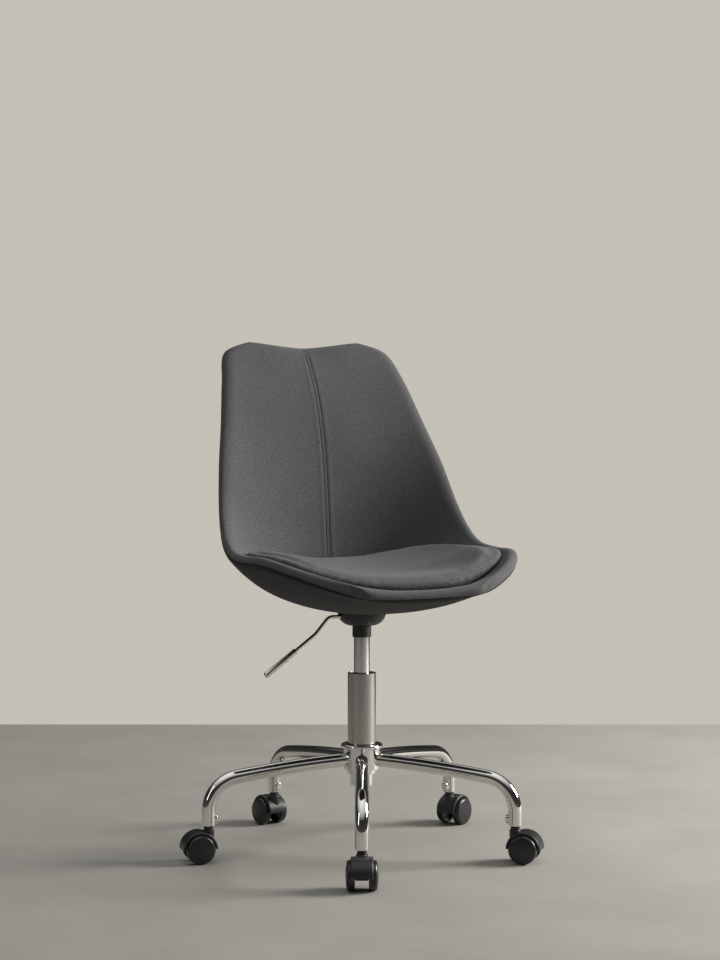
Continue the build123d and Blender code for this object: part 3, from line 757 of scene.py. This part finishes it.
def centre_row(side):
    """Path of one row beside the centre seam, from the rim's top to under the pad."""
    points, normals = [], []
    for k in range(ROW_STEPS):
        s = ROW_START + k / (ROW_STEPS - 1) * (PAD_REAR + 0.01)
        u = side * STITCH_OUT / along(rim_stations, station_at(s)).x
        normal = bucket_normal(u, s)
        lift = ROLL_CENTRE + RIM_R + centre_relief(STITCH_OUT) + THREAD_R * 0.5
        points.append(bucket(u, s) + normal * lift)
        normals.append(normal)
    return points, normals


centre_stitches = stitch_piece("centre_stitches", [centre_row(-1), centre_row(1)])
print("centre stitches:", len(centre_stitches.data.polygons), "faces")

# %% [markdown]
# **Room.** The chair stands on a plain pale floor that ends behind it, and a plain wall colour
# fills the view beyond. The floor is turned to face the camera, so its far edge is level.

# %% Floor
VIEW_TURN = -25.5       # degrees from the chair's front to the camera
FLOOR_SIDE = 3.2
FLOOR_BACK = 1.42       # behind the column, as the camera looks
floor_finish, floor_shader = new_material("floor")
floor_cloud = speckle(floor_finish, place_of(floor_finish), 3.0, 6.0, 0.6)
floor_tone = ramp(floor_finish, floor_cloud, [(0.3, (0.29, 0.28, 0.25)), (0.7, (0.35, 0.335, 0.305))])
link(floor_finish, floor_tone, floor_shader.inputs["Base Color"])
floor_shader.inputs["Roughness"].default_value = 0.75
floor_mesh = bmesh.new()
bmesh.ops.create_grid(floor_mesh, x_segments=1, y_segments=1, size=1.0)
view_turn = Matrix.Rotation(radians(VIEW_TURN), 4, "Z")
centre_back = (FLOOR_BACK - FLOOR_SIDE) / 2
bmesh.ops.scale(floor_mesh, verts=floor_mesh.verts, vec=(FLOOR_SIDE, (FLOOR_BACK + FLOOR_SIDE) / 2, 1))
bmesh.ops.translate(floor_mesh, verts=floor_mesh.verts, vec=(0, centre_back, 0))
bmesh.ops.transform(floor_mesh, matrix=view_turn, verts=floor_mesh.verts)
floor = new_piece(floor_mesh, "floor", floor_finish)

# %% [markdown]
# **Lights.** A warm soft box at the right, a little behind the column, is the key. A dim narrow
# box at the left gives the chrome a line to reflect. The world adds the rest: it is dim towards
# the sides and grows to full white straight overhead, as under a bright ceiling. The camera itself
# sees the plain wall colour in place of that glow.

# %% Lights
def soft_light(name, place, target, width, height, power, colour=(1, 1, 1)):
    """Rectangular soft box that faces a target point."""
    lamp = bpy.data.lights.new(name, "AREA")
    lamp.shape = "RECTANGLE"
    lamp.size, lamp.size_y = width, height
    lamp.energy = power
    lamp.color = colour
    box = bpy.data.objects.new(name, lamp)
    box.location = view_turn @ Vector(place)
    box.rotation_euler = (view_turn @ Vector(target) - box.location).to_track_quat("-Z", "Y").to_euler()
    bpy.context.scene.collection.objects.link(box)


WALL = (0.56, 0.53, 0.475, 1)
WARM = (1.0, 0.985, 0.955)
MIX_A, MIX_B, MIX_RESULT = 6, 7, 2      # the colour sockets of a mix node
world = bpy.data.worlds.new("room")
world.use_nodes = True
direction = add(world, "ShaderNodeTexCoord").outputs["Generated"]
height = add(world, "ShaderNodeSeparateXYZ", {0: direction}).outputs["Z"]
level, raised = (tuple(grey * share for share in (1, 0.97, 0.92)) for grey in (0.05, 0.02))
glow = ramp(world, height, [(0.0, level), (0.48, raised), (1.0, 1.0)])
seen = add(world, "ShaderNodeLightPath").outputs["Is Camera Ray"]
sky = add(world, "ShaderNodeMix", {"Factor": seen, MIX_A: glow, MIX_B: WALL}, data_type="RGBA")
link(world, sky.outputs[MIX_RESULT], world.node_tree.nodes["Background"].inputs["Color"])
bpy.context.scene.world = world
soft_light("key", (3.1, 0.45, 1.6), (0, 0, 0.6), 1.2, 1.2, 190, WARM)
soft_light("strip", (-2.2, -1.6, 1.4), (0, 0, 0.3), 0.35, 1.5, 5)
bpy.context.scene.view_settings.view_transform = "Standard"
